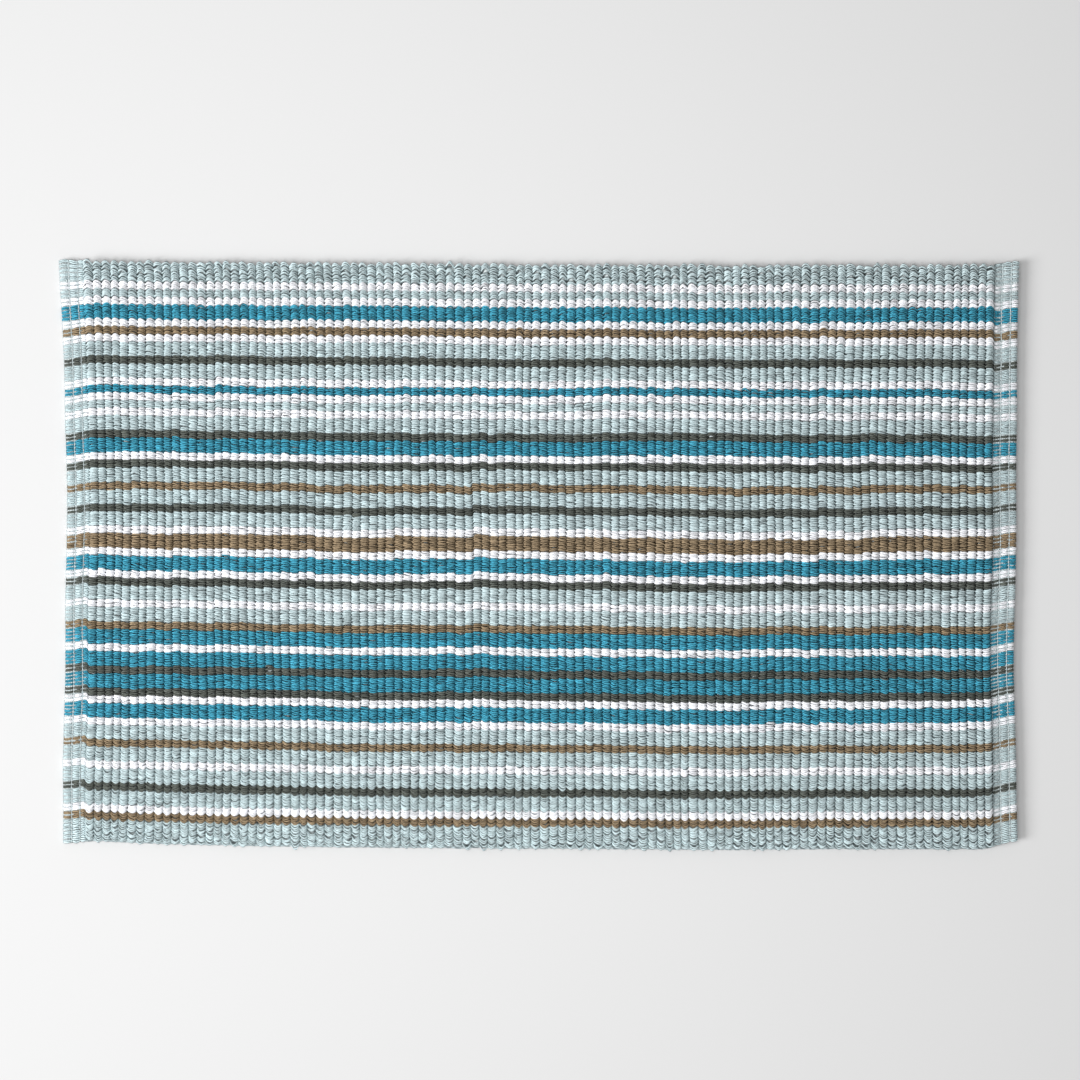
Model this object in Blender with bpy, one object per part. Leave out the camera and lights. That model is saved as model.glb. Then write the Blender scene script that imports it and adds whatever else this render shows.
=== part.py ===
"""Woven cotton bath mat: coloured warp stripes over a thick filler weft, with a flat turned hem at each end.

X runs along the warp, from hem to hem. Y runs across the stripes, from selvedge to selvedge.
The mat lies flat on z = 0, with its origin under its middle.
"""

import bpy
from math import cos, pi, sin

# Ribbed body
RIB_COUNT = 105
RIB_PITCH = 0.0078
LAYER = 0.0016  # the coloured yarns over or under the wefts
FILLER_DIAMETER = 0.0052

# Hems
HEM_LENGTH = 0.0225
HEM_PICKS = 2
HEM_PICK_PITCH = 0.0055
HEM_WEFT_DIAMETER = 0.0012
FOLD_WALL = 0.0022  # yarn round the folded edge, outside the hem's last pick
FOLD_CHAMFER = 0.0012
SEAM_DIAMETER = 0.0007
SEAM_INSET = 0.0065  # from the seam's middle to the first rib

# Stripes
NARROW = 0.0070
WIDE = 0.0130
FIRST_SELVEDGE = 0.0180
LAST_SELVEDGE = 0.0195

CLEARANCE = 0.0003  # between pieces that touch
TURN_COVER = 0.0012  # selvedge yarn outside the weft's turns
TURN_STEPS = 4
CORD_SIDES_SETTING = 1

# The warping plan, from the selvedge at +Y to the one at -Y.
PLAN = (
    ("seafoam", FIRST_SELVEDGE), ("white", NARROW), ("seafoam", NARROW), ("white", NARROW),
    ("blue", WIDE), ("white", NARROW), ("brown", NARROW), ("white", NARROW),
    ("seafoam", WIDE), ("charcoal", NARROW), ("seafoam", WIDE), ("white", NARROW),
    ("blue", NARROW), ("white", NARROW), ("seafoam", NARROW), ("white", NARROW),
    ("seafoam", WIDE), ("charcoal", NARROW), ("blue", WIDE), ("white", NARROW),
    ("charcoal", NARROW), ("seafoam", WIDE), ("brown", NARROW), ("seafoam", WIDE),
    ("charcoal", NARROW), ("seafoam", WIDE), ("white", NARROW), ("brown", WIDE),
    ("white", NARROW), ("blue", WIDE), ("white", NARROW), ("charcoal", NARROW),
    ("seafoam", WIDE), ("white", NARROW), ("seafoam", WIDE), ("brown", NARROW),
    ("blue", WIDE), ("white", NARROW), ("blue", WIDE), ("charcoal", NARROW),
    ("blue", WIDE), ("charcoal", NARROW), ("white", NARROW), ("blue", WIDE),
    ("white", NARROW), ("seafoam", WIDE), ("brown", NARROW), ("seafoam", WIDE),
    ("white", NARROW), ("seafoam", WIDE), ("charcoal", NARROW), ("seafoam", WIDE),
    ("white", NARROW), ("brown", NARROW), ("seafoam", LAST_SELVEDGE),
)

COLOURS = {
    "seafoam": (0.37, 0.47, 0.49),
    "white": (0.78, 0.80, 0.83),
    "blue": (0.045, 0.22, 0.32),
    "brown": (0.19, 0.13, 0.08),
    "charcoal": (0.085, 0.09, 0.08),
    "filler": (0.62, 0.68, 0.68),
    "seam": (0.70, 0.75, 0.76),
}

BODY_LENGTH = RIB_COUNT * RIB_PITCH
MAT_LENGTH = BODY_LENGTH + 2 * HEM_LENGTH
MAT_WIDTH = sum(width for _, width in PLAN)
SLOT_FLOOR = LAYER
BODY_SLOT_TOP = SLOT_FLOOR + CLEARANCE + FILLER_DIAMETER + CLEARANCE
BODY_TOP = BODY_SLOT_TOP + LAYER
HEM_SLOT_TOP = SLOT_FLOOR + CLEARANCE + HEM_WEFT_DIAMETER + CLEARANCE
HEM_TOP = HEM_SLOT_TOP + LAYER


def clear_scene():
    for thing in list(bpy.data.objects):
        bpy.data.objects.remove(thing)


def cotton(colour):
    """A matt cotton material of one dye colour, made once."""
    material = bpy.data.materials.get(colour + "_cotton")
    if material is None:
        material = bpy.data.materials.new(colour + "_cotton")
        material.use_nodes = True
        shader = material.node_tree.nodes["Principled BSDF"]
        shader.inputs["Base Color"].default_value = (*COLOURS[colour], 1)
        shader.inputs["Roughness"].default_value = 0.9
        shader.inputs["Metallic"].default_value = 0
    return material


def place(name, curve, colour):
    """An object that holds the curve, in its colour."""
    curve.materials.append(cotton(colour))
    piece = bpy.data.objects.new(name, curve)
    bpy.context.scene.collection.objects.link(piece)
    return piece


def add_spline(curve, points, closed=False):
    spline = curve.splines.new("POLY")
    spline.points.add(len(points) - 1)
    for target, point in zip(spline.points, points):
        target.co = (*point, 1)
    spline.use_cyclic_u = closed


def sleeve_outline():
    """The stripe seen from its side: a thick ribbed body between two thin folded hems, as (x, z)."""
    end = MAT_LENGTH / 2
    step = BODY_LENGTH / 2
    right = [
        (end - FOLD_CHAMFER, 0),
        (end, FOLD_CHAMFER),
        (end, HEM_TOP - FOLD_CHAMFER),
        (end - FOLD_CHAMFER, HEM_TOP),
        (step, HEM_TOP),
        (step, BODY_TOP),
    ]
    return right + [(-x, z) for x, z in reversed(right)]


def slot_outline():
    """The space inside the sleeve that the wefts fill, as (x, z)."""
    end = MAT_LENGTH / 2 - FOLD_WALL
    step = BODY_LENGTH / 2 - (RIB_PITCH - FILLER_DIAMETER) / 2 + CLEARANCE
    right = [
        (end, SLOT_FLOOR),
        (end, HEM_SLOT_TOP),
        (step, HEM_SLOT_TOP),
        (step, BODY_SLOT_TOP),
    ]
    return right + [(-x, z) for x, z in reversed(right)]


def stripe(name, colour, width, middle):
    """All the warp yarns of one stripe, as one sleeve round the wefts. The flat curve stands up on its edge."""
    curve = bpy.data.curves.new(name, "CURVE")
    curve.dimensions = "2D"
    curve.fill_mode = "BOTH"
    curve.extrude = (width - CLEARANCE) / 2
    add_spline(curve, [(x, z, 0) for x, z in sleeve_outline()], closed=True)
    add_spline(curve, [(x, z, 0) for x, z in slot_outline()], closed=True)
    piece = place(name, curve, colour)
    piece.location.y = middle
    piece.rotation_euler.x = pi / 2


def weft_route(count, pitch, diameter, first_x):
    """Straight passes from selvedge to selvedge, joined by half-round turns, as (x, y)."""
    turn_radius = pitch / 2
    reach = MAT_WIDTH / 2 - TURN_COVER - diameter / 2 - turn_radius
    route = []
    for pick in range(count):
        x = first_x + pick * pitch
        side = 1 if pick % 2 == 0 else -1
        route.append((x, -side * reach))
        route.append((x, side * reach))
        if pick < count - 1:
            for step in range(1, TURN_STEPS):
                angle = pi * step / TURN_STEPS
                across = x + turn_radius * (1 - cos(angle))
                route.append((across, side * (reach + turn_radius * sin(angle))))
    return route


def cord(name, colour, route, height, diameter):
    """A round cord along a level route."""
    curve = bpy.data.curves.new(name, "CURVE")
    curve.dimensions = "3D"
    curve.bevel_depth = diameter / 2
    curve.bevel_resolution = CORD_SIDES_SETTING
    curve.use_fill_caps = True
    add_spline(curve, [(x, y, height) for x, y in route])
    place(name, curve, colour)


def stripes():
    edge = MAT_WIDTH / 2
    for number, (colour, width) in enumerate(PLAN, 1):
        stripe(f"stripe_{number:02d}_{colour}", colour, width, edge - width / 2)
        edge -= width


def wefts():
    """The thick cord inside the ribs, and the thin picks inside each hem."""
    first_rib = -BODY_LENGTH / 2 + RIB_PITCH / 2
    route = weft_route(RIB_COUNT, RIB_PITCH, FILLER_DIAMETER, first_rib)
    height = SLOT_FLOOR + CLEARANCE + FILLER_DIAMETER / 2
    cord("filler_weft", "filler", route, height, FILLER_DIAMETER)
    hem_height = SLOT_FLOOR + CLEARANCE + HEM_WEFT_DIAMETER / 2
    hem_first = MAT_LENGTH / 2 - FOLD_WALL - CLEARANCE - HEM_WEFT_DIAMETER / 2
    hem_first -= (HEM_PICKS - 1) * HEM_PICK_PITCH
    for name, side in (("hem_weft_left", -1), ("hem_weft_right", 1)):
        route = weft_route(HEM_PICKS, HEM_PICK_PITCH, HEM_WEFT_DIAMETER, hem_first)
        route = [(side * x, y) for x, y in route]
        cord(name, "filler", route, hem_height, HEM_WEFT_DIAMETER)


def hem_seams():
    """The sewing thread that holds each turned hem, on its upper face beside the outermost rib."""
    reach = MAT_WIDTH / 2 - TURN_COVER
    height = HEM_TOP + CLEARANCE + SEAM_DIAMETER / 2
    for name, side in (("hem_seam_left", -1), ("hem_seam_right", 1)):
        x = side * (BODY_LENGTH / 2 + SEAM_INSET)
        cord(name, "seam", [(x, -reach), (x, reach)], height, SEAM_DIAMETER)


clear_scene()
stripes()
wefts()
hem_seams()
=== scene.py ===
# The woven cotton bath mat: coloured warp yarns that arch over a thick filler weft, with a flat turned hem
# at each short end. X runs along the stripes, Y across them and Z up out of the face, in metres, as in the
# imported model.
from math import cos, pi, radians, sin

import bpy
import numpy as np
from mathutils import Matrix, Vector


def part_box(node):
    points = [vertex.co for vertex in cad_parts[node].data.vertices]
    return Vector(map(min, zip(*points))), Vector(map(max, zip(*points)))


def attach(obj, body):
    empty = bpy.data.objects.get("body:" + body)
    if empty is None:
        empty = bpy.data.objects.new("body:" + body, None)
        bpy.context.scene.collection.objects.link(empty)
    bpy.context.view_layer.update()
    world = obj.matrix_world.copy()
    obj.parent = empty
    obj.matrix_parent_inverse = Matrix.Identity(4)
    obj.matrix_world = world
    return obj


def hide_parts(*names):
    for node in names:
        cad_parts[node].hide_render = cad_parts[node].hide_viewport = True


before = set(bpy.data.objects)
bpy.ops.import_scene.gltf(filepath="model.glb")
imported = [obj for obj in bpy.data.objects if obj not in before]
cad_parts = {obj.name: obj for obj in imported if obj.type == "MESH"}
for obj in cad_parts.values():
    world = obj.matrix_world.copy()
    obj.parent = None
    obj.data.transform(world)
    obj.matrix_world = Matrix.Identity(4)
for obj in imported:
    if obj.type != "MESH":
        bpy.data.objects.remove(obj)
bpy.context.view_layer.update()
bpy.ops.object.select_all(action="DESELECT")


# Camera
# It looks straight down on the mat, which lies a little below the middle of the view.
LENS_MM = 70
SENSOR_MM = 36
VIEW_WIDTH = 0.9742
VIEW_CENTRE = (0.0009, 0.0153)
FACE_HEIGHT = 0.007

camera_data = bpy.data.cameras.new("camera")
camera_data.lens = LENS_MM
camera_data.sensor_width = SENSOR_MM
camera = bpy.data.objects.new("camera", camera_data)
bpy.context.scene.collection.objects.link(camera)
camera.location = (*VIEW_CENTRE, FACE_HEIGHT + VIEW_WIDTH * LENS_MM / SENSOR_MM)
bpy.context.scene.camera = camera
bpy.context.scene.view_settings.view_transform = "Standard"


# Floor and light
# A pale studio floor, a low soft light from the left and a little from the near side, a soft box overhead and
# an even fill.
FLOOR_SIZE = 12
FLOOR_COLOUR = (0.70, 0.70, 0.70)
FLOOR_ROUGHNESS = 0.9
FLOOR_SHINE = 0.1
FILL_COLOUR = (1, 1, 1)
FILL_STRENGTH = 0.44
KEY_DISTANCE = 5.0
KEY_SIZE = 2.2
KEY_ELEVATION = radians(30)
KEY_AZIMUTH = radians(193)
KEY_POWER = 262
OVERHEAD_PLACE = (-0.20, 0.06, 1.3)
OVERHEAD_SIZE = 0.8
OVERHEAD_POWER = 5.6

bpy.ops.mesh.primitive_plane_add(size=FLOOR_SIZE)
floor = bpy.context.object
floor.name = "floor"
floor_paint = bpy.data.materials.new("pale_studio_floor")
floor_paint.use_nodes = True
floor_shader = floor_paint.node_tree.nodes["Principled BSDF"]
floor_shader.inputs["Base Color"].default_value = (*FLOOR_COLOUR, 1)
floor_shader.inputs["Roughness"].default_value = FLOOR_ROUGHNESS
floor_shader.inputs["Specular IOR Level"].default_value = FLOOR_SHINE
floor.data.materials.append(floor_paint)

world = bpy.data.worlds.new("studio")
world.use_nodes = True
fill = world.node_tree.nodes["Background"]
fill.inputs["Color"].default_value = (*FILL_COLOUR, 1)
fill.inputs["Strength"].default_value = FILL_STRENGTH
bpy.context.scene.world = world

key_data = bpy.data.lights.new("key_light", "AREA")
key_data.shape = "SQUARE"
key_data.size = KEY_SIZE
key_data.energy = KEY_POWER
key = bpy.data.objects.new("key_light", key_data)
bpy.context.scene.collection.objects.link(key)
key.location = (
    KEY_DISTANCE * cos(KEY_ELEVATION) * cos(KEY_AZIMUTH),
    KEY_DISTANCE * cos(KEY_ELEVATION) * sin(KEY_AZIMUTH),
    KEY_DISTANCE * sin(KEY_ELEVATION),
)
key.rotation_mode = "QUATERNION"
key.rotation_quaternion = (-key.location).to_track_quat("-Z", "Y")

overhead_data = bpy.data.lights.new("overhead_light", "AREA")
overhead_data.shape = "SQUARE"
overhead_data.size = OVERHEAD_SIZE
overhead_data.energy = OVERHEAD_POWER
overhead = bpy.data.objects.new("overhead_light", overhead_data)
bpy.context.scene.collection.objects.link(overhead)
overhead.location = OVERHEAD_PLACE


# Filler weft
# A thick soft cotton cord that goes to and fro across the whole mat, once inside each rib, and turns at the
# selvedges. The cloth round it is never quite even, and settle() gives how every yarn of the mat shares that.
RIBS = 105
FILLER_THICK = 0.0036
FILLER_WIDE = 0.0050
FILLER_SIDES = 8
FILLER_STEPS = 40
FILLER_TURN_STEPS = 4
FILLER_FOLDS = 75
FILLER_TONE_UNEVEN = 0.04
SELVEDGE_COVER = 0.0026
WEFT_COLOUR = (0.63, 0.70, 0.71)
WEFT_FUZZ_COLOUR = (0.9, 0.95, 0.95)
WEFT_FIBRE_SCALE = 900
# the cloth is uneven from rib to rib, and in each rib from one of its patches to the next
WEAVE_SEED = 2105
RIB_UNEVEN = 0.065
RIB_LIMIT = 1.8
PATCHES = 14
RIB_SHIFT = 0.00036
PATCH_SHIFT = 0.00024
PATCH_WANDER = 0.00020
WANDER_KEPT = 0.86
JUMP_CHANCE = 0.16
JUMP = 0.0013
JUMP_SHARE = (0.6, 1.2)
JUMP_PATCHES = 1.3
LEAN = -0.00045
LEAN_UNEVEN = 0.00028
LEAN_KEPT = 0.6
BOW_UNEVEN = 0.00030
# and the whole cloth wanders in long waves
WAVES = 26
WAVE_LENGTHS = (0.045, 0.30)
WAVE_ALONG = 0.0018
WAVE_ACROSS = 0.0013
SELVEDGE_CALM = 0.7
# how far the finished mat is pulled out of square, and how high its right hem curls; where an amount has two
# values, they are for the corner at +Y and the one at -Y, and a span is given as its start and end
END_CURVE = 0.0023
CURVE_MIDDLE = 0.5
CURVE_START = 0.0004
LEFT_NARROWING = 0.0012
NARROWING = 0.0006
LEFT_SWING = 0.0006
LEFT_CLOSING = 0.0012
LEFT_DRAWN_IN = 0.0030
LEFT_CORNERS_OUT = (0.0040, 0.0022)
RIGHT_DRAWN_IN = 0.0015
RIGHT_CORNERS_OUT = (0.0040, 0.0008)
LEFT_HEM_DOWN = 0.0043
RIGHT_HEM_UP = 0.0046
RIGHT_CORNERS_UP = (0.0026, 0.0026)
LEFT_STEP_UP = 0.0036
RIGHT_STEP_DOWN = 0.0056
HEM_STEP = (-0.001, 0.002)
RIGHT_DIP = 0.0032
RIGHT_RISE = 0.0020
EAR = 0.0014
EAR_INSET = 0.006
EAR_LENGTH = 0.005
CURL = 0.0036
CORNER_CURL = 0.0008
CURL_SPAN = (0.002, 0.004)

dice = np.random.default_rng(WEAVE_SEED)
filler_low, filler_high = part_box("filler_weft")
stripe_nodes = sorted(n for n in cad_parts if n.startswith("stripe_"))
_, sleeve_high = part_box(stripe_nodes[0])
MAT_END = sleeve_high.x
SELVEDGE = sleeve_high.y
PITCH = (filler_high.x - filler_low.x - (filler_high.z - filler_low.z)) / (RIBS - 1)
BODY_END = RIBS * PITCH / 2
HEM = MAT_END - BODY_END
rib_middle = -BODY_END + PITCH * (np.arange(RIBS) + 0.5)

rib_widths = 1 + RIB_UNEVEN * np.clip(dice.standard_normal(RIBS), -RIB_LIMIT, RIB_LIMIT)
rib_widths *= RIBS / rib_widths.sum()
woven_ribs = np.concatenate([[0], np.cumsum(rib_widths)])
even_edges = np.concatenate([[-MAT_END], -BODY_END + PITCH * np.arange(RIBS + 1), [MAT_END]])
woven_edges = np.concatenate([[-MAT_END], -BODY_END + PITCH * woven_ribs, [MAT_END]])
# how far each patch of each rib lies up or down, leans and bows: it wanders from rib to rib, with a jump now
# and then that is strongest in one patch
rib_shift, rib_lean, rib_bow = np.zeros((3, RIBS, PATCHES))
wander, leaning = np.zeros((2, PATCHES))
for rib in range(RIBS):
    wander = WANDER_KEPT * wander + PATCH_WANDER * dice.standard_normal(PATCHES)
    leaning = LEAN_KEPT * leaning + LEAN_UNEVEN * dice.standard_normal(PATCHES)
    if dice.random() < JUMP_CHANCE:
        near = np.exp(-(((np.arange(PATCHES) - dice.uniform(1, PATCHES - 2)) / JUMP_PATCHES) ** 2))
        wander += near * JUMP * dice.choice((-1, 1)) * dice.uniform(*JUMP_SHARE)
    rib_shift[rib] = wander + RIB_SHIFT * dice.standard_normal() + PATCH_SHIFT * dice.standard_normal(PATCHES)
    rib_lean[rib] = LEAN + leaning
    rib_bow[rib] = BOW_UNEVEN * dice.standard_normal(PATCHES)
wave_length = dice.uniform(*WAVE_LENGTHS, WAVES)
wave_angle = dice.uniform(0, pi, WAVES)
wave_phase = dice.uniform(0, 2 * pi, WAVES)
wave_along = WAVE_ALONG * (wave_length / WAVES) ** 0.5 * dice.standard_normal(WAVES)
wave_across = WAVE_ACROSS * (wave_length / WAVES) ** 0.5 * dice.standard_normal(WAVES)


def ramp(values, start, end):
    """0 before start, 1 after end, smooth between."""
    t = np.clip((values - start) / (end - start), 0, 1)
    return t * t * (3 - 2 * t)


def patched(amounts, rib, share):
    """The amount of these ribs' patches, read off smoothly at these shares of the way to the selvedge."""
    spot = np.clip((1 + share) / 2, 0, 0.999) * (PATCHES - 1)
    patch = np.floor(spot).astype(int)
    between = ramp(spot - patch, 0, 1)
    return amounts[rib, patch] * (1 - between) + amounts[rib, patch + 1] * between


def settle(points):
    """Moves points of the even weave to where the real cloth has let them go."""
    x, y = points[..., 0], points[..., 1]
    share = y / SELVEDGE
    free = 1 - SELVEDGE_CALM * share**2
    along = np.interp(x, even_edges, woven_edges)
    across = y.copy()
    place = (x + BODY_END) / PITCH - 0.5
    rib = np.clip(np.floor(place), 0, RIBS - 2).astype(int)
    step = ramp(place - rib, 0.3, 0.7)
    across += free * ((1 - step) * patched(rib_shift, rib, share) + step * patched(rib_shift, rib + 1, share))
    for length, angle, phase, a, b in zip(wave_length, wave_angle, wave_phase, wave_along, wave_across):
        wave = np.sin((x * cos(angle) + y * sin(angle)) * 2 * pi / length + phase)
        along += a * wave
        across += b * free * wave
    # the stripes curve up towards both ends, and the left end is narrower and slightly skewed
    left, right = np.clip(-x / BODY_END, 0, 1.1), np.clip(x / BODY_END, 0, 1.1)
    up, down = np.clip(share, 0, 1), np.clip(-share, 0, 1)
    across += CURVE_START + END_CURVE * (right - left - CURVE_MIDDLE) ** 2
    across -= LEFT_NARROWING * share * left**2 + NARROWING * share**2
    across += (LEFT_SWING - LEFT_CLOSING * share) * left**8 * (1 - up**6)
    # both ends are drawn in at their middle, so the corners stand out
    along += (LEFT_DRAWN_IN - LEFT_CORNERS_OUT[0] * up**3 - LEFT_CORNERS_OUT[1] * down**2) * left**3
    along -= (RIGHT_DRAWN_IN - RIGHT_CORNERS_OUT[0] * up**3 - RIGHT_CORNERS_OUT[1] * down**2) * right**3
    # the hems were sewn down askew, so the stripes slant in them and step where they enter
    left_hem = ramp(-x, BODY_END - PITCH, MAT_END)
    right_hem = ramp(x, BODY_END - 1.5 * PITCH, MAT_END)
    left_step = ramp(-x, BODY_END + HEM_STEP[0], BODY_END + HEM_STEP[1])
    right_step = ramp(x, BODY_END + HEM_STEP[0], BODY_END + HEM_STEP[1])
    across += (RIGHT_HEM_UP * right_hem - LEFT_HEM_DOWN * left_hem) * (1 - up**10)
    across += (RIGHT_CORNERS_UP[0] * up**10 + RIGHT_CORNERS_UP[1] * down**8) * right_hem
    across += LEFT_STEP_UP * ramp(-share, -0.35, 0.4) * (1 - down**24) * left_step
    across -= RIGHT_STEP_DOWN * ramp(share, 0.4, 0.72) * (1 - up**12) * right_step
    across -= RIGHT_DIP * np.exp(-(((share - 0.4) / 0.15) ** 2)) * right**10
    across += RIGHT_RISE * ramp(down, 0.1, 0.4) * (1 - down**8) * right**10
    # one corner of the left hem sticks out, and the right hem curls off the floor
    across += EAR * up**8 * np.exp(-(((x + MAT_END - EAR_INSET) / EAR_LENGTH) ** 2))
    curl = (CURL + CORNER_CURL * up**3) * ramp(x, BODY_END + CURL_SPAN[0], MAT_END + CURL_SPAN[1])
    return np.stack([along, across, points[..., 2] + curl], axis=-1)


# the bake map: each yarn's skin is a strip cut into folds that lie one above another, with its end caps
# beside them
STRIP_LENGTH = 0.98
STRIP_GAP = 0.03
CAP_PLACE = 0.99
CAP_RADIUS = (0.006, 0.15)
CAP_RISE = (0.25, 0.70)
# the fibres spiral round a ply, by this many radians a metre, from a start of its own
FIBRE_SPIN = 1400
FIBRE_START = 9


def tubes(paths, across, over, sides, tones, fibre_scale, folds):
    """Yarns along these paths (yarns, points, 3), with across and over as the half-widths of their section.
    Gives their corners, their faces with strips of the bake map, and each corner's tone and place among the
    fibres."""
    yarns, length = paths.shape[:2]
    turn = pi / 2 + 2 * pi * np.arange(sides) / sides
    ring = np.cos(turn)[:, None] * across[:, :, None, :] + np.sin(turn)[:, None] * over[:, :, None, :]
    corners = paths[:, :, None, :] + ring
    index = np.arange(yarns * length * sides).reshape(yarns, length, sides)
    here, ahead = index[:, :-1], index[:, 1:]
    quads = np.stack([here, ahead, np.roll(ahead, -1, axis=2), np.roll(here, -1, axis=2)], axis=-1)
    caps = np.concatenate([index[:, 0], index[:, -1, ::-1]])

    per_row = -(-(length - 1) // folds)
    segment = np.arange(length - 1)
    row = segment // per_row
    u = (segment - row * per_row) / per_row
    u = np.stack([u, u + 1 / per_row, u + 1 / per_row, u], axis=-1)
    side = np.arange(sides)
    v = np.stack([side, side, side + 1, side + 1], axis=-1) / sides
    rows = np.arange(yarns)[:, None] * folds + row
    v = rows[:, :, None, None] + STRIP_GAP + (1 - 2 * STRIP_GAP) * v
    u = np.broadcast_to(u[None, :, None, :], v.shape)
    strip = np.stack([u * STRIP_LENGTH, v / (yarns * folds)], axis=-1).reshape(-1, 2)
    spot = np.stack([CAP_PLACE + CAP_RADIUS[0] * np.cos(turn), CAP_RADIUS[1] * np.sin(turn)], axis=-1)
    cap_strip = np.tile(spot, (2, yarns, 1, 1))
    cap_strip[..., 1] += (np.arange(yarns) * folds)[None, :, None] + np.array(CAP_RISE)[:, None, None]
    cap_strip[..., 1] /= yarns * folds

    travelled = np.linalg.norm(np.diff(paths, axis=1), axis=2).cumsum(axis=1)
    travelled = np.concatenate([np.zeros((yarns, 1)), travelled], axis=1)
    spun = turn[None, None, :] + (travelled * FIBRE_SPIN)[:, :, None]
    run = (travelled + dice.uniform(0, FIBRE_START, (yarns, 1))) * fibre_scale
    fibre = np.stack([np.broadcast_to(run[:, :, None], spun.shape), np.cos(spun), np.sin(spun)], axis=-1)
    return {
        "corners": corners.reshape(-1, 3),
        "faces": np.concatenate([quads.ravel(), caps.ravel()]),
        "sizes": np.concatenate([np.full(quads.size // 4, 4), np.full(len(caps), sides)]),
        "strip": np.concatenate([strip, cap_strip.reshape(-1, 2)]),
        "tone_and_shade": np.repeat(tones.reshape(-1), sides),
        "fibre": fibre.reshape(-1, 3),
        "rows": yarns * folds,
    }


# no yarn goes lower than this above the floor
FLOOR_GAP = 0.0001


def mesh_of(name, groups, material):
    """One mesh object of several groups of tubes, each in its own band of the bake map."""
    heights = np.array([g["rows"] for g in groups], float)
    heights /= heights.sum()
    bottoms = np.cumsum(heights) - heights
    starts = np.cumsum([0] + [len(g["corners"]) for g in groups])
    corners = settle(np.concatenate([g["corners"] for g in groups]))
    corners[:, 2] = np.maximum(corners[:, 2], FLOOR_GAP)
    faces = np.concatenate([g["faces"] + start for g, start in zip(groups, starts)])
    sizes = np.concatenate([g["sizes"] for g in groups])
    strip = np.concatenate([
        np.stack([g["strip"][:, 0], bottom + g["strip"][:, 1] * height], axis=-1)
        for g, bottom, height in zip(groups, bottoms, heights)
    ])
    mesh = bpy.data.meshes.new(name)
    mesh.vertices.add(len(corners))
    mesh.vertices.foreach_set("co", corners.astype(np.float32).ravel())
    mesh.loops.add(len(faces))
    mesh.loops.foreach_set("vertex_index", faces.astype(np.int32))
    mesh.polygons.add(len(sizes))
    mesh.polygons.foreach_set("loop_start", (np.cumsum(sizes) - sizes).astype(np.int32))
    mesh.polygons.foreach_set("use_smooth", np.ones(len(sizes), bool))
    mesh.update(calc_edges=True)
    mesh.uv_layers.new(name="OFBake").uv.foreach_set("vector", strip.astype(np.float32).ravel())
    tones = np.concatenate([g["tone_and_shade"] for g in groups])
    fibres = np.concatenate([g["fibre"] for g in groups])
    mesh.attributes.new("tone_and_shade", "FLOAT", "POINT").data.foreach_set("value", tones.astype(np.float32))
    fibre_layer = mesh.attributes.new("fibre", "FLOAT_VECTOR", "POINT")
    fibre_layer.data.foreach_set("vector", fibres.astype(np.float32).ravel())
    mesh.materials.append(material)
    piece = bpy.data.objects.new(name, mesh)
    bpy.context.scene.collection.objects.link(piece)
    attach(piece, "root")
    return piece


# every yarn of the mat is matt cotton, with clouds of dye and streaks that run along its fibres
COTTON_ROUGHNESS = 0.92
COTTON_SHINE = 0.12
FUZZ = 0.06
FUZZ_ROUGHNESS = 0.6
PLAIN_MOTTLE = 0.20
CLOUD_SCALE = 520
STREAK_SCALE = 1.7
STREAK_ROUGHNESS = 0.6
STREAK_SHARE = 4
NOISE_DETAIL = 3
FIBRE_BUMP = 0.7
FIBRE_BUMP_DEPTH = 0.0005


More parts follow.
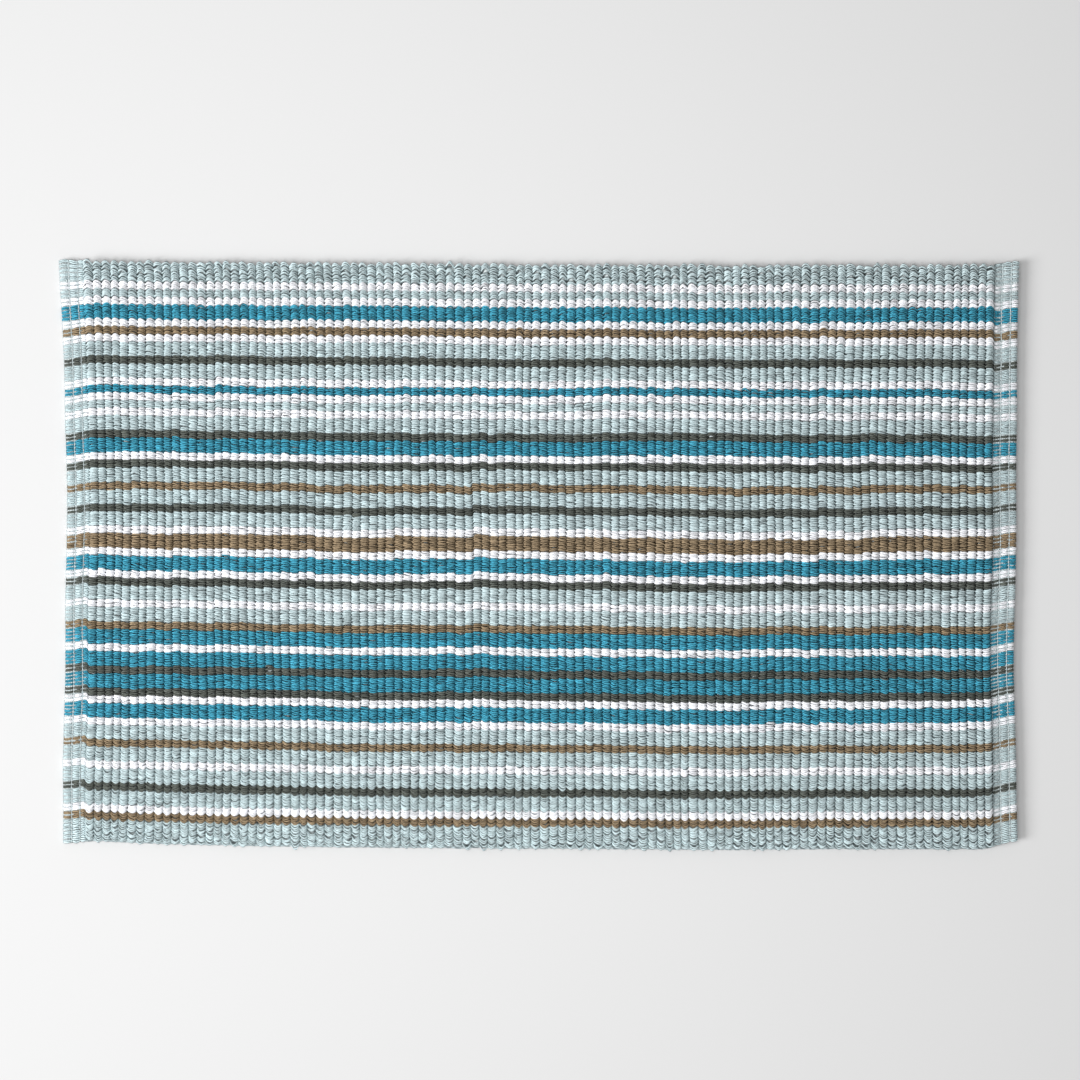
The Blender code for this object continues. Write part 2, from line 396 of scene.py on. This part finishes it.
def cotton(name, colour, fuzz_colour, mottle=PLAIN_MOTTLE):
    """Dyed cotton yarn: each loop a little lighter or darker at random, with the painted shade and painted
    light that the yarns carry, fine fibres along the ply and a soft fuzz at grazing angles.
    The mottle is how much the clouds and streaks change the dye, round a mean of 1."""
    material = bpy.data.materials.new(name)
    material.use_nodes = True
    nodes, links = material.node_tree.nodes, material.node_tree.links
    shader = nodes["Principled BSDF"]
    shader.inputs["Roughness"].default_value = COTTON_ROUGHNESS
    shader.inputs["Specular IOR Level"].default_value = COTTON_SHINE
    shader.inputs["Sheen Weight"].default_value = FUZZ
    shader.inputs["Sheen Roughness"].default_value = FUZZ_ROUGHNESS
    shader.inputs["Sheen Tint"].default_value = (*fuzz_colour, 1)
    # the tone attribute multiplies the dye: it holds each loop's random tone and also the painted shade and
    # painted light of the valleys, ply feet, crests and hems
    tone_and_shade = nodes.new("ShaderNodeAttribute")
    tone_and_shade.attribute_name = "tone_and_shade"
    fibre = nodes.new("ShaderNodeAttribute")
    fibre.attribute_name = "fibre"
    place = nodes.new("ShaderNodeTexCoord")
    clouds = nodes.new("ShaderNodeTexNoise")
    clouds.inputs["Scale"].default_value = CLOUD_SCALE
    clouds.inputs["Detail"].default_value = NOISE_DETAIL
    links.new(place.outputs["Object"], clouds.inputs["Vector"])
    streaks = nodes.new("ShaderNodeTexNoise")
    streaks.inputs["Scale"].default_value = STREAK_SCALE
    streaks.inputs["Detail"].default_value = NOISE_DETAIL
    streaks.inputs["Roughness"].default_value = STREAK_ROUGHNESS
    links.new(fibre.outputs["Vector"], streaks.inputs["Vector"])
    amount = nodes.new("ShaderNodeMath")
    amount.operation = "MULTIPLY_ADD"
    amount.inputs[1].default_value = mottle
    amount.inputs[2].default_value = 1 - mottle * (1 + STREAK_SHARE) / 2
    links.new(clouds.outputs["Fac"], amount.inputs[0])
    streaked = nodes.new("ShaderNodeMath")
    streaked.operation = "MULTIPLY_ADD"
    streaked.inputs[1].default_value = STREAK_SHARE * mottle
    links.new(streaks.outputs["Fac"], streaked.inputs[0])
    links.new(amount.outputs[0], streaked.inputs[2])
    level = nodes.new("ShaderNodeMath")
    level.operation = "MULTIPLY"
    links.new(streaked.outputs[0], level.inputs[0])
    links.new(tone_and_shade.outputs["Fac"], level.inputs[1])
    dyed = nodes.new("ShaderNodeMix")
    dyed.data_type = "RGBA"
    dyed.blend_type = "MULTIPLY"
    dyed.inputs["Factor"].default_value = 1
    dyed.inputs["A"].default_value = (*colour, 1)
    links.new(level.outputs[0], dyed.inputs["B"])
    links.new(dyed.outputs["Result"], shader.inputs["Base Color"])
    bump = nodes.new("ShaderNodeBump")
    bump.inputs["Strength"].default_value = FIBRE_BUMP
    bump.inputs["Distance"].default_value = FIBRE_BUMP_DEPTH
    links.new(streaks.outputs["Fac"], bump.inputs["Height"])
    links.new(bump.outputs["Normal"], shader.inputs["Normal"])
    return material


# the cord's route: a pass along each rib, and a half-round turn at the selvedge into the next
turn_radius = PITCH / 2
reach = SELVEDGE - SELVEDGE_COVER - FILLER_WIDE / 2 - turn_radius
filler_height = filler_low.z + FILLER_THICK / 2
route = []
for rib in range(RIBS):
    way = 1 if rib % 2 == 0 else -1
    for t in np.linspace(-1, 1, FILLER_STEPS):
        route.append((rib_middle[rib], way * reach * t, filler_height))
    if rib < RIBS - 1:
        for k in range(1, FILLER_TURN_STEPS):
            angle = pi * k / FILLER_TURN_STEPS
            turned_x = rib_middle[rib] + turn_radius * (1 - cos(angle))
            route.append((turned_x, way * (reach + turn_radius * sin(angle)), filler_height))
route = np.array(route)[None]
heading = np.gradient(route[0], axis=0)
heading /= np.linalg.norm(heading, axis=1)[:, None]
upright = np.array([0, 0, 1.0])
filler_across = np.cross(upright, heading)[None] * FILLER_WIDE / 2
filler_over = np.broadcast_to(upright * FILLER_THICK / 2, route.shape)
filler_tone = 1 + FILLER_TONE_UNEVEN * dice.standard_normal(route.shape[:2])
weft_cotton = cotton("weft_cotton", WEFT_COLOUR, WEFT_FUZZ_COLOUR)
cord = tubes(route, filler_across, filler_over, FILLER_SIDES, filler_tone, WEFT_FIBRE_SCALE, FILLER_FOLDS)
filler = mesh_of("filler_cord", [cord], weft_cotton)
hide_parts("filler_weft")


# Warp stripes
# The coloured cotton yarns that run the whole length of the mat. Each face yarn is two soft plies, twisted
# loosely together, that arch over the filler in every rib; the back yarns do the opposite underneath. At each
# end the face yarns lie flat over the hem's thin picks, fold under and are sewn down.
END_SPACING = 0.0034
PLY_SIDES = 3
WARP_FIBRE_SCALE = 650
WARP_FOLDS = 5
# one rib of a face yarn, from one valley on: reach along the rib, height, turn of the plies, how far the
# loop is free to stray and to bow, ply width, ply depth, how far each ply lies from the yarn's middle,
# sideways and up, and how pale the yarn is painted there, a painted shade that is deepest in the valleys
# between the ribs
RIB_ARCH = (
    (-1.00, 0.0026, -1.50, 0.0, 0.00, 0.0020, 0.0012, 0.00062, 0.00042, 0.34),
    (-0.88, 0.0055, -0.85, 0.6, 0.24, 0.0024, 0.0015, 0.00084, 0.00052, 0.85),
    (-0.68, 0.0070, -0.50, 0.9, 0.58, 0.0025, 0.0016, 0.00090, 0.00055, 1.00),
    (-0.25, 0.0074, -0.18, 1.0, 0.96, 0.0025, 0.0017, 0.00090, 0.00050, 1.00),
    (0.25, 0.0074, 0.18, 1.0, 0.96, 0.0025, 0.0017, 0.00090, 0.00050, 1.00),
    (0.68, 0.0070, 0.50, 0.9, 0.58, 0.0025, 0.0016, 0.00090, 0.00055, 1.00),
    (0.88, 0.0055, 0.85, 0.6, 0.24, 0.0024, 0.0015, 0.00084, 0.00052, 0.85),
)
# the painted shade in the valleys grows darker towards the right, from one of these places to the other:
# the paleness above is raised to this power, plus this much more at the right
VALLEY_SHADE_SPAN = (-0.15, 0.43)
VALLEY_SHADE_POWER = (0.85, 0.9)
# the loops bow outwards, most of all at the selvedges, whose yarns are loose
OUTWARD_BOW = 0.0034
OUTWARD_POWER = 2.2
LOOSE_SPAN = (0.235, 0.262)
# how uneven the loops are from one to the next: in a held yarn, and how much more in a loose one
SHIFT_SCATTER = (0.00020, 0.00022)
LEAN_SCATTER = (0.00016, 0.0003)
APART_SCATTER = (0.12, 0.12)
TURN_SCATTER = (0.36, 0.4)
BOW_SCATTER = (0.00010, 0.0004)
LIFT_SCATTER = 0.00018
FORWARD_SCATTER = 0.00018
THICK_SCATTER = 0.10
TONE_SCATTER = 0.09
POINT_LIFT = 0.00010
POINT_SHIFT = 0.00015
LEAST_APART = 0.45
# a few loops are wild: they stray, rise and open up more
WILD_CHANCE = 0.025
WILD_SHIFT = 0.0005
WILD_LIFT = 0.0004
WILD_APART = 0.4
# one rib of a back yarn: reach, height, width; and its two points past each end rib: distance, height, width
BACK_ARCH = ((-1.0, 0.0036, 0.0022), (-0.46, 0.0010, 0.0037), (0.46, 0.0010, 0.0037))
BACK_END = ((0.0030, 0.0024, 0.0018), (0.0008, 0.0032, 0.0018))
BACK_THICK = 0.0021
BACK_SHIFT = 0.00015
BACK_TONE = 0.05
LAST_BACK_INSET = 0.3
# a face yarn in the hem, outward from the last rib: distance, height, fullness
HEM_RIGHT = (
    (0.0006, 0.0026, 0.7), (0.0014, 0.0050, 0.9), (0.0036, 0.0053, 0.9), (0.0058, 0.0048, 0.8),
    (0.0074, 0.0036, 0.7), (0.0090, 0.0047, 1.0), (0.0114, 0.0049, 1.25), (0.0136, 0.0046, 1.1),
    (0.0152, 0.0035, 0.7), (0.0166, 0.0044, 1.0), (0.0188, 0.0045, 1.15), (0.0208, 0.0040, 1.1),
    (0.0217, 0.0026, 1.0), (0.0209, 0.0011, 1.0), (0.0180, 0.0007, 1.0), (0.0010, 0.0007, 1.0),
)
HEM_LEFT = (
    (0.0000, 0.0036, 1.0), (0.0007, 0.0042, 1.2), (0.0021, 0.0045, 1.3), (0.0040, 0.0042, 1.1),
    (0.0056, 0.0031, 0.8), (0.0070, 0.0042, 1.2), (0.0091, 0.0045, 1.35), (0.0118, 0.0042, 1.1),
    (0.0135, 0.0031, 0.7), (0.0150, 0.0042, 0.9), (0.0174, 0.0044, 0.95), (0.0203, 0.0040, 0.9),
    (0.0216, 0.0026, 0.9), (0.0208, 0.0011, 1.0), (0.0180, 0.0007, 1.0), (0.0010, 0.0007, 1.0),
)
# in a hem the two plies lie beside each other, spread by the stitches
HEM_SPREAD = (1.05, 1.3)
HEM_YARN_SPREAD = (0.92, 1.08)
HEM_PLY_APART = 0.00056
HEM_APART_UNEVEN = (0.85, 1.15)
HEM_PLY_WIDE = 0.00145
HEM_PLY_DEEP = 0.0012
HEM_PLY_STACK = 0.0001
HEM_SHIFT = 0.00022
HEM_TURN = 0.5
# the hem yarns are painted lighter than the ribs as painted light, more at the left than the right, with a
# random unevenness, and their first point beside the ribs is painted darker as painted shade
HEM_PAINTED_LIGHT = 1.15
HEM_LIGHT_FALL = 0.07
HEM_TONE_UNEVEN = 0.05
HEM_ENTRY_SHADE = 0.5
# each dye: its colour, the colour of its fuzz, and how mottled it is
DYES = {
    "seafoam": ((0.515, 0.62, 0.64), (0.85, 0.95, 0.95), 0.22),
    "white": ((0.865, 0.875, 0.905), (1.0, 1.0, 1.0), 0.08),
    "blue": ((0.066, 0.362, 0.500), (0.35, 0.75, 0.9), 0.60),
    "brown": ((0.325, 0.245, 0.155), (0.8, 0.65, 0.5), 0.50),
    "charcoal": ((0.118, 0.130, 0.115), (0.6, 0.62, 0.6), 0.50),
}
# painted light and shade: how pale a ply is painted in the grooves at its foot, beside about 1 along its
# crest.
# The pale yarns are also fuller, steadier in their twist and less mixed in tone, and the painted shade at the
# feet is darker in loose yarns and to the right, while the crests are painted a little lighter, more in loose
# loops.
GROOVE_SHADES = {"seafoam": 0.78, "white": 0.97, "blue": 0.40, "brown": 0.44, "charcoal": 0.50}
MIDDLING_GROOVE = 0.45
PALE_FULLER = 0.32
PALE_STEADIER = 0.3
PLY_TONE_MIX = (0.04, 0.18)
CREST_PAINTED_LIGHT = 1.06
CREST_LIGHT_OPEN = 0.26
GROOVE_SHADE_OPEN = 0.30
GROOVE_SHADE_RIGHT = 0.12
GROOVE_SHADE_SPAN = (-0.1, 0.43)
GROOVE_SHADE_MIX = 0.25
DARKEST_GROOVE_SHADE = 0.1
dyed = {name: cotton(name + "_cotton", *looks) for name, looks in DYES.items()}


def along_ribs(values):
    """The points' values of one rib, repeated along the body, with the last valley added."""
    return np.concatenate([np.tile(values, RIBS), values[:1]])


def per_rib(values, points):
    """One value a rib and yarn, spread to the rib's points; a valley takes the mean of its two ribs."""
    spread = np.repeat(values, points, axis=1)
    spread = np.concatenate([spread, values[:, -1:]], axis=1)
    spread[:, points:-1:points] = (values[:, :-1] + values[:, 1:]) / 2
    return spread


def section_of(line):
    """The directions across a yarn and up out of it, at each point of its line."""
    heading = np.gradient(line, axis=1)
    heading[..., 1] = 0
    heading /= np.linalg.norm(heading, axis=2)[..., None]
    outward = np.stack([-heading[..., 2], 0 * heading[..., 0], heading[..., 0]], axis=-1)
    sideways = np.zeros_like(line)
    sideways[..., 1] = 1
    return sideways, outward


def scatter(amounts, loose, shape):
    """A random amount for each loop, larger in the loose yarns."""
    held, more = amounts
    return (held + more * loose)[:, None] * dice.standard_normal(shape)


def face_yarns(middles, loose, groove_shade):
    """The plies of the face yarns whose middles are at these y; the last argument is how pale their feet are
    painted, as painted shade.
    """
    yarns = len(middles)
    ribs = (yarns, RIBS)
    normal = dice.standard_normal
    share = middles[:, None] / SELVEDGE
    every_rib = np.arange(RIBS)[None]
    steadier = PALE_STEADIER * (groove_shade - MIDDLING_GROOVE)
    wild = dice.random(ribs) < WILD_CHANCE
    shift = scatter(SHIFT_SCATTER, loose, ribs) + WILD_SHIFT * wild * normal(ribs)
    lift = LIFT_SCATTER * normal(ribs) + WILD_LIFT * wild
    forward = FORWARD_SCATTER * normal(ribs)
    lean = patched(rib_lean, every_rib, share) + scatter(LEAN_SCATTER, loose, ribs)
    apart = np.maximum(1 + scatter(APART_SCATTER, loose, ribs) + WILD_APART * wild, LEAST_APART)
    phase = scatter((TURN_SCATTER[0] - steadier, TURN_SCATTER[1]), loose, ribs)
    thick = 1 + THICK_SCATTER * normal(ribs)
    tone_and_shade = 1 + TONE_SCATTER * normal(ribs)
    outward_bow = OUTWARD_BOW * np.sign(share) * np.abs(share) ** OUTWARD_POWER
    bow = outward_bow + patched(rib_bow, every_rib, share) + scatter(BOW_SCATTER, loose, ribs)

    columns = map(along_ribs, np.array(RIB_ARCH).T)
    reach, height, turn, free, arched, wide, deep, side, stack, valley_shade = columns
    points = len(RIB_ARCH)
    rib = np.arange(RIBS * points + 1) // points
    x = -BODY_END + PITCH * (rib + 0.5 + reach / 2) + free * per_rib(forward, points)
    z = height + free * (per_rib(lift, points) + POINT_LIFT * normal(x.shape))
    stray = per_rib(shift, points) + per_rib(lean, points) * reach + POINT_SHIFT * normal(x.shape)
    y = middles[:, None] - outward_bow + free * stray + arched * per_rib(bow, points)
    turned = pi * rib + turn + per_rib(phase, points)
    side = side * per_rib(apart, points)
    stack = np.broadcast_to(stack, x.shape)
    # the pale yarns are fuller and close up, except in the open ends of the loops at the selvedges
    full = 1 + PALE_FULLER * (groove_shade - MIDDLING_GROOVE) * (1 - loose[:, None])
    wide, deep = full * wide * per_rib(thick, points), deep * per_rib(thick, points)
    # painted shade: the tone is darkened in the valleys between the ribs, more towards the right
    tone_and_shade = per_rib(tone_and_shade, points) * valley_shade ** (VALLEY_SHADE_POWER[0] + VALLEY_SHADE_POWER[1] * ramp(x, *VALLEY_SHADE_SPAN))

    spread = dice.uniform(*HEM_SPREAD) * dice.uniform(*HEM_YARN_SPREAD, (yarns, 1))
    for end, hem in ((1, HEM_RIGHT), (-1, HEM_LEFT)):
        out, hem_height, fullness = (np.tile(v, (yarns, 1)) for v in np.array(hem).T)
        shape = out.shape
        hem_x = end * (BODY_END + out)
        hem_y = middles[:, None] + HEM_SHIFT * normal(shape)
        hem_turn = dice.uniform(-HEM_TURN, HEM_TURN, shape) + (pi * RIBS if end > 0 else 0)
        hem_side = HEM_PLY_APART * spread * fullness * dice.uniform(*HEM_APART_UNEVEN, shape)
        hem_stack = np.full(shape, HEM_PLY_STACK)
        hem_wide = HEM_PLY_WIDE * spread * fullness
        hem_deep = np.full(shape, HEM_PLY_DEEP)
        # painted light: the hem yarns are painted lighter, the left hem more than the right; painted shade:
        # their first point beside the ribs is painted darker
        hem_tone_light_and_shade = HEM_PAINTED_LIGHT - HEM_LIGHT_FALL * end
        hem_tone_light_and_shade = hem_tone_light_and_shade + HEM_TONE_UNEVEN * normal((yarns, 1)) + HEM_TONE_UNEVEN * normal(shape)
        hem_tone_light_and_shade[:, 0] *= HEM_ENTRY_SHADE
        in_hem = (hem_x, hem_y, hem_height, hem_turn, hem_side, hem_stack, hem_wide, hem_deep, hem_tone_light_and_shade)
        in_ribs = (x, y, z, turned, side, stack, wide, deep, tone_and_shade)
        if end > 0:
            joined = [np.concatenate([r, h], axis=1) for r, h in zip(in_ribs, in_hem)]
        else:
            joined = [np.concatenate([h[:, ::-1], r], axis=1) for r, h in zip(in_ribs, in_hem)]
        x, y, z, turned, side, stack, wide, deep, tone_and_shade = joined

    line = np.stack([x, y, z], axis=-1)
    sideways, outward = section_of(line)
    plies = []
    for turn in (turned, turned + pi):
        aside = sideways * (side * np.cos(turn))[..., None]
        plies.append(line + aside + outward * (stack * np.sin(turn))[..., None])
    across = np.concatenate([sideways * wide[..., None] / 2] * 2)
    over = np.concatenate([outward * deep[..., None] / 2] * 2)
    mixed = PLY_TONE_MIX[0] + PLY_TONE_MIX[1] * (1 - groove_shade)
    tones = np.concatenate([tone_and_shade * (1 + mixed * np.clip(normal(tone_and_shade.shape), -2, 2)) for _ in range(2)])
    skin = tubes(np.concatenate(plies), -across, over, PLY_SIDES, tones, WARP_FIBRE_SCALE, WARP_FOLDS)
    # painted light and shade: each ply is painted lighter along its crest and darker at its feet; the crests
    # more so in the loose loops, the feet in the loose loops and to the right
    open_end = np.tile(loose, 2)[:, None] * np.ones(tones.shape)
    right = np.tile(ramp(x, *GROOVE_SHADE_SPAN), (2, 1))
    foot_shade = groove_shade - GROOVE_SHADE_OPEN * open_end - GROOVE_SHADE_RIGHT * right
    foot_shade = np.maximum(foot_shade + GROOVE_SHADE_MIX * (1 - groove_shade) * normal(tones.shape), DARKEST_GROOVE_SHADE)
    crest_light = CREST_PAINTED_LIGHT + CREST_LIGHT_OPEN * open_end
    skin["tone_and_shade"] = skin["tone_and_shade"] * np.stack([crest_light, foot_shade, foot_shade], axis=-1).ravel()
    return skin


def back_yarns(middles):
    """The yarns of the underside, which rise between the ribs."""
    yarns, points = len(middles), len(BACK_ARCH)
    reach, height, wide = map(along_ribs, np.array(BACK_ARCH).T)
    end_out, end_height, end_wide = np.array(BACK_END).T
    rib = np.arange(RIBS * points + 1) // points
    x = -BODY_END + PITCH * (rib + 0.5 + reach / 2)
    x = np.concatenate([-BODY_END - end_out, x, BODY_END + end_out[::-1]])
    z = np.concatenate([end_height, height, end_height[::-1]])
    wide = np.concatenate([end_wide, wide, end_wide[::-1]])
    y = middles[:, None] + BACK_SHIFT * dice.standard_normal((yarns, len(x)))
    line = np.stack([np.broadcast_to(x, y.shape), y, np.broadcast_to(z, y.shape)], axis=-1)
    sideways, outward = section_of(line)
    tones = 1 + BACK_TONE * dice.standard_normal(y.shape)
    across, over = sideways * wide[:, None] / 2, -outward * BACK_THICK / 2
    return tubes(line, across, over, PLY_SIDES, tones, WARP_FIBRE_SCALE, WARP_FOLDS)


for node in stripe_nodes:
    low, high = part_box(node)
    colour = node.split("_")[2]
    yarns = round((high.y - low.y) / END_SPACING)
    spacing = (high.y - low.y) / yarns
    middles = high.y - spacing * (np.arange(yarns) + 0.5)
    loose = ramp(np.abs(middles), *LOOSE_SPAN)
    # the back yarns lie between the face yarns, and those of the last stripe are moved in from the selvedge
    inset = LAST_BACK_INSET if node == stripe_nodes[-1] else 0
    back_middles = middles - spacing / 2 + spacing * inset
    face = face_yarns(middles, loose, GROOVE_SHADES[colour])
    back = back_yarns(back_middles)
    piece = mesh_of("yarns_" + node, [face, back], dyed[colour])
    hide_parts(node)


# Hem picks and hem seams
# Thin pale cotton picks close the cloth of each hem, and rows of pale stitches show as beaded lines where the
# warp dives under them. The row nearest the ribs is the sewing thread that holds the turned hem down.
THREAD_SIDES = 6
GROUND_THICK = 0.0015
GROUND_SPACING = 0.0014
GROUND_SPAN = (0.0016, 0.0022)
GROUND_DEPTH = 0.0011
GROUND_STEPS = 40
GROUND_INSET = 0.0012
UNDER_HEIGHT = 0.0017
TURNED_UNDER = 4
BEADS = 158
BEAD_STEPS = 4
BEAD_FOLDS = 40
BEAD_THICK = 0.0009
BEAD_SWELL = (0.45, 0.55)
BEAD_UNEVEN = (0.6, 1.2)
BEAD_SHIFT = 0.00012
BEAD_TONE = 0.03
BEAD_LIFT = 0.0005
BEAD_INSET = 0.0008
# the rows of stitches, as distance out from the ribs and height: the first is the seam, the others are picks
STITCH_ROWS = {
    "left": ((0.0056, 0.0040), (0.0135, 0.0040), (0.0217, 0.0034)),
    "right": ((0.0074, 0.0040), (0.0152, 0.0040)),
}
SEAM_COLOUR = (0.64, 0.72, 0.73)
SEAM_FUZZ_COLOUR = (0.95, 1, 1)


def cross_threads(side, outs, heights):
    """Straight thin picks across a hem, at these distances out from the body and these heights, as tubes."""
    y = np.linspace(-SELVEDGE + GROUND_INSET, SELVEDGE - GROUND_INSET, GROUND_STEPS)
    shape = (len(outs), GROUND_STEPS)
    x = np.broadcast_to(side * (BODY_END + outs[:, None]), shape)
    line = np.stack([x, np.broadcast_to(y, shape), np.broadcast_to(heights[:, None], shape)], axis=-1)
    across, over = np.zeros_like(line), np.zeros_like(line)
    across[..., 0] = GROUND_THICK / 2
    over[..., 2] = GROUND_THICK / 2
    return tubes(line, across, over, THREAD_SIDES, np.ones(shape), WEFT_FIBRE_SCALE, 1)


def beaded(side, out, height):
    """A thread across the hem that swells up between the warp yarns and dips where they cross it."""
    steps = BEADS * BEAD_STEPS
    y = np.linspace(SELVEDGE - BEAD_INSET, -SELVEDGE + BEAD_INSET, steps + 1)
    beat = (1 - np.cos(2 * pi * np.arange(steps + 1) / BEAD_STEPS + pi)) / 2
    swell = BEAD_SWELL[0] + BEAD_SWELL[1] * beat * dice.uniform(*BEAD_UNEVEN, steps + 1)
    x = side * (BODY_END + out) + BEAD_SHIFT * dice.standard_normal(steps + 1)
    line = np.stack([x, y, height + BEAD_LIFT * beat], axis=-1)[None]
    across, over = np.zeros_like(line), np.zeros_like(line)
    across[..., 0] = -BEAD_THICK / 2 * swell
    over[..., 2] = BEAD_THICK / 2 * swell
    tones = 1 + BEAD_TONE * dice.standard_normal((1, steps + 1))
    return tubes(line, across, over, THREAD_SIDES, tones, WEFT_FIBRE_SCALE, BEAD_FOLDS)


seam_cotton = cotton("seam_cotton", SEAM_COLOUR, SEAM_FUZZ_COLOUR)
hems = []
for side, name, hem in ((-1, "left", HEM_LEFT), (1, "right", HEM_RIGHT)):
    seam_row, *pick_rows = STITCH_ROWS[name]
    outs = np.arange(GROUND_SPAN[0], HEM - GROUND_SPAN[1], GROUND_SPACING)
    # the picks lie just under the warp, which turns under at the last points of its hem
    hem_outs, hem_heights, _ = np.array(hem[:-TURNED_UNDER]).T
    ground = np.interp(outs, hem_outs, hem_heights) - GROUND_DEPTH
    under = np.full(len(outs), UNDER_HEIGHT)
    threads = [cross_threads(side, outs, ground), cross_threads(side, outs, under)]
    threads += [beaded(side, *row) for row in pick_rows]
    picks = mesh_of("hem_picks_" + name, threads, weft_cotton)
    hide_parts("hem_weft_" + name)
    seam = mesh_of("hem_stitches_" + name, [beaded(side, *seam_row)], seam_cotton)
    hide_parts("hem_seam_" + name)
    hems += [picks, seam]
